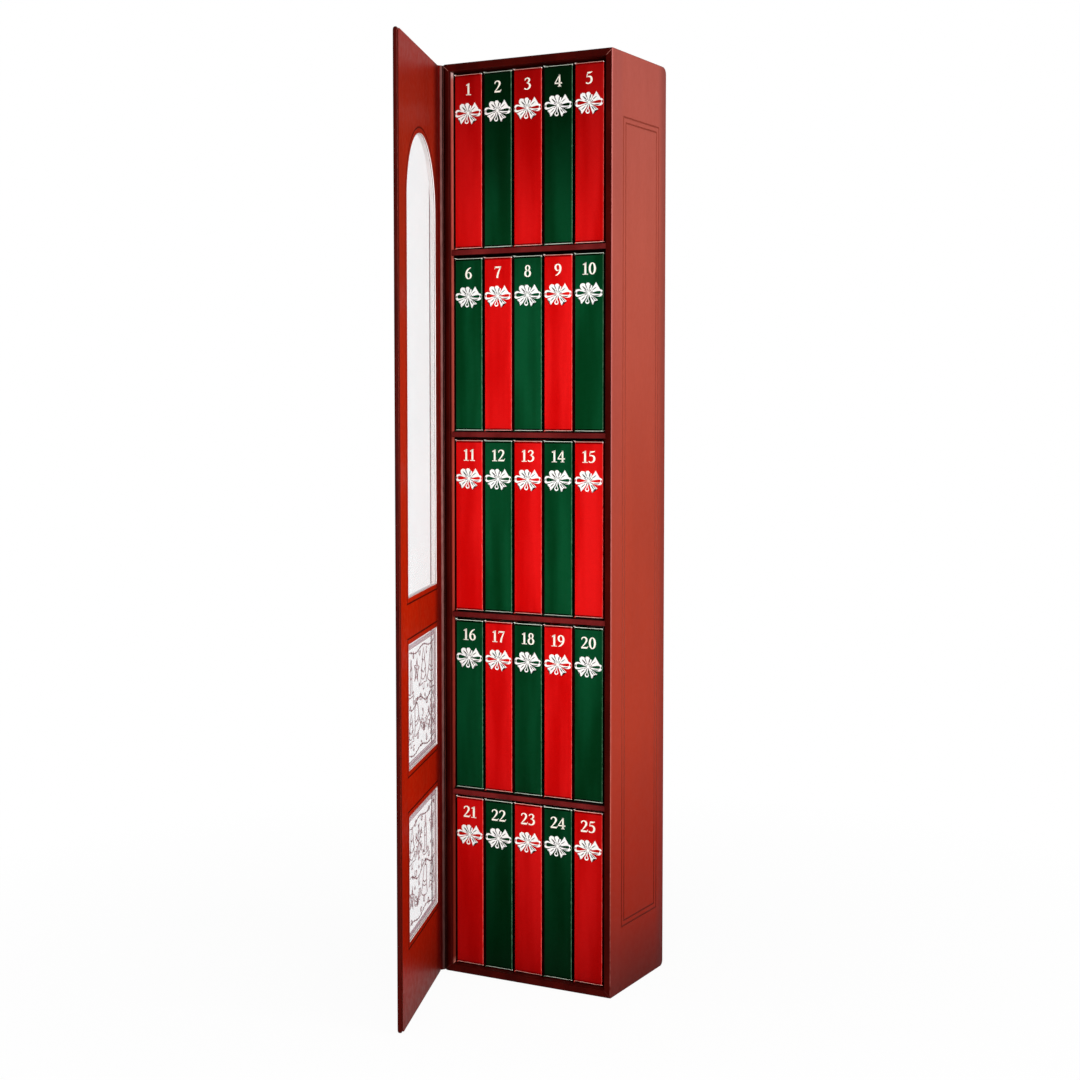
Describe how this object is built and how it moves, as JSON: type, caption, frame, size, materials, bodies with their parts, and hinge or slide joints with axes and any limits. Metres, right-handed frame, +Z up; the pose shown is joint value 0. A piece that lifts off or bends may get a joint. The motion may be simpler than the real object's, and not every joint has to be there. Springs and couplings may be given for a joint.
{
  "type": "miniature book advent calendar",
  "caption": "Tall narrow bookcase box with a side-hung windowed door and rows of numbered miniature hardback books that slide out.",
  "frame": {"origin": "centre of the case's underside", "axes": "+Z up along the case, -Y out of the open front, +X to the right as seen from the front, away from the hinge"},
  "size_m": [0.1133, 0.1766, 0.53],
  "materials": {
    "mahogany_paper": "satin",
    "maroon_paper": "satin",
    "door_paper": "satin",
    "hinge_paper": "matte",
    "frosted_sheet": "matte",
    "red_cloth": "satin",
    "green_cloth": "satin",
    "page_paper": "matte"
  },
  "bodies": {
    "box": {"case_shell": "mahogany_paper", "back_board": "maroon_paper", "shelf_1": "maroon_paper", "shelf_2": "maroon_paper", "shelf_3": "maroon_paper", "shelf_4": "maroon_paper", "hinge_strip": "hinge_paper"},
    "door": {"door_board": "mahogany_paper", "window_sheet": "frosted_sheet", "door_lining": "door_paper"},
    "book_01": {"book_cover_01": "red_cloth", "book_pages_01": "page_paper"},
    "book_02": {"book_cover_02": "green_cloth", "book_pages_02": "page_paper"},
    "book_03": {"book_cover_03": "red_cloth", "book_pages_03": "page_paper"},
    "book_04": {"book_cover_04": "green_cloth", "book_pages_04": "page_paper"},
    "book_05": {"book_cover_05": "red_cloth", "book_pages_05": "page_paper"},
    "book_06": {"book_cover_06": "green_cloth", "book_pages_06": "page_paper"},
    "book_07": {"book_cover_07": "red_cloth", "book_pages_07": "page_paper"},
    "book_08": {"book_cover_08": "green_cloth", "book_pages_08": "page_paper"},
    "book_09": {"book_cover_09": "red_cloth", "book_pages_09": "page_paper"},
    "book_10": {"book_cover_10": "green_cloth", "book_pages_10": "page_paper"},
    "book_11": {"book_cover_11": "red_cloth", "book_pages_11": "page_paper"},
    "book_12": {"book_cover_12": "green_cloth", "book_pages_12": "page_paper"},
    "book_13": {"book_cover_13": "red_cloth", "book_pages_13": "page_paper"},
    "book_14": {"book_cover_14": "green_cloth", "book_pages_14": "page_paper"},
    "book_15": {"book_cover_15": "red_cloth", "book_pages_15": "page_paper"},
    "book_16": {"book_cover_16": "green_cloth", "book_pages_16": "page_paper"},
    "book_17": {"book_cover_17": "red_cloth", "book_pages_17": "page_paper"},
    "book_18": {"book_cover_18": "green_cloth", "book_pages_18": "page_paper"},
    "book_19": {"book_cover_19": "red_cloth", "book_pages_19": "page_paper"},
    "book_20": {"book_cover_20": "green_cloth", "book_pages_20": "page_paper"},
    "book_21": {"book_cover_21": "red_cloth", "book_pages_21": "page_paper"},
    "book_22": {"book_cover_22": "green_cloth", "book_pages_22": "page_paper"},
    "book_23": {"book_cover_23": "red_cloth", "book_pages_23": "page_paper"},
    "book_24": {"book_cover_24": "green_cloth", "book_pages_24": "page_paper"},
    "book_25": {"book_cover_25": "red_cloth", "book_pages_25": "page_paper"}
  },
  "joints": [
    {"name": "door_hinge", "type": "hinge", "parent": "box", "child": "door", "pos_m": [-0.0565, -0.0358, 0.265], "axis": [0, 0, -1], "range_deg": [-69.2, 110.8], "deforming": ["hinge_strip"]},
    {"name": "book_01_slide", "type": "slide", "parent": "box", "child": "book_01", "axis": [0, -1, 0], "range_m": [0, 0.02]},
    {"name": "book_02_slide", "type": "slide", "parent": "box", "child": "book_02", "axis": [0, -1, 0], "range_m": [0, 0.065]},
    {"name": "book_03_slide", "type": "slide", "parent": "box", "child": "book_03", "axis": [0, -1, 0], "range_m": [0, 0.065]},
    {"name": "book_04_slide", "type": "slide", "parent": "box", "child": "book_04", "axis": [0, -1, 0], "range_m": [0, 0.065]},
    {"name": "book_05_slide", "type": "slide", "parent": "box", "child": "book_05", "axis": [0, -1, 0], "range_m": [0, 0.065]},
    {"name": "book_06_slide", "type": "slide", "parent": "box", "child": "book_06", "axis": [0, -1, 0], "range_m": [0, 0.02]},
    {"name": "book_07_slide", "type": "slide", "parent": "box", "child": "book_07", "axis": [0, -1, 0], "range_m": [0, 0.065]},
    {"name": "book_08_slide", "type": "slide", "parent": "box", "child": "book_08", "axis": [0, -1, 0], "range_m": [0, 0.065]},
    {"name": "book_09_slide", "type": "slide", "parent": "box", "child": "book_09", "axis": [0, -1, 0], "range_m": [0, 0.065]},
    {"name": "book_10_slide", "type": "slide", "parent": "box", "child": "book_10", "axis": [0, -1, 0], "range_m": [0, 0.065]},
    {"name": "book_11_slide", "type": "slide", "parent": "box", "child": "book_11", "axis": [0, -1, 0], "range_m": [0, 0.02]},
    {"name": "book_12_slide", "type": "slide", "parent": "box", "child": "book_12", "axis": [0, -1, 0], "range_m": [0, 0.065]},
    {"name": "book_13_slide", "type": "slide", "parent": "box", "child": "book_13", "axis": [0, -1, 0], "range_m": [0, 0.065]},
    {"name": "book_14_slide", "type": "slide", "parent": "box", "child": "book_14", "axis": [0, -1, 0], "range_m": [0, 0.065]},
    {"name": "book_15_slide", "type": "slide", "parent": "box", "child": "book_15", "axis": [0, -1, 0], "range_m": [0, 0.065]},
    {"name": "book_16_slide", "type": "slide", "parent": "box", "child": "book_16", "axis": [0, -1, 0], "range_m": [0, 0.02]},
    {"name": "book_17_slide", "type": "slide", "parent": "box", "child": "book_17", "axis": [0, -1, 0], "range_m": [0, 0.065]},
    {"name": "book_18_slide", "type": "slide", "parent": "box", "child": "book_18", "axis": [0, -1, 0], "range_m": [0, 0.065]},
    {"name": "book_19_slide", "type": "slide", "parent": "box", "child": "book_19", "axis": [0, -1, 0], "range_m": [0, 0.065]},
    {"name": "book_20_slide", "type": "slide", "parent": "box", "child": "book_20", "axis": [0, -1, 0], "range_m": [0, 0.065]},
    {"name": "book_21_slide", "type": "slide", "parent": "box", "child": "book_21", "axis": [0, -1, 0], "range_m": [0, 0.02]},
    {"name": "book_22_slide", "type": "slide", "parent": "box", "child": "book_22", "axis": [0, -1, 0], "range_m": [0, 0.065]},
    {"name": "book_23_slide", "type": "slide", "parent": "box", "child": "book_23", "axis": [0, -1, 0], "range_m": [0, 0.065]},
    {"name": "book_24_slide", "type": "slide", "parent": "box", "child": "book_24", "axis": [0, -1, 0], "range_m": [0, 0.065]},
    {"name": "book_25_slide", "type": "slide", "parent": "box", "child": "book_25", "axis": [0, -1, 0], "range_m": [0, 0.065]}
  ]
}
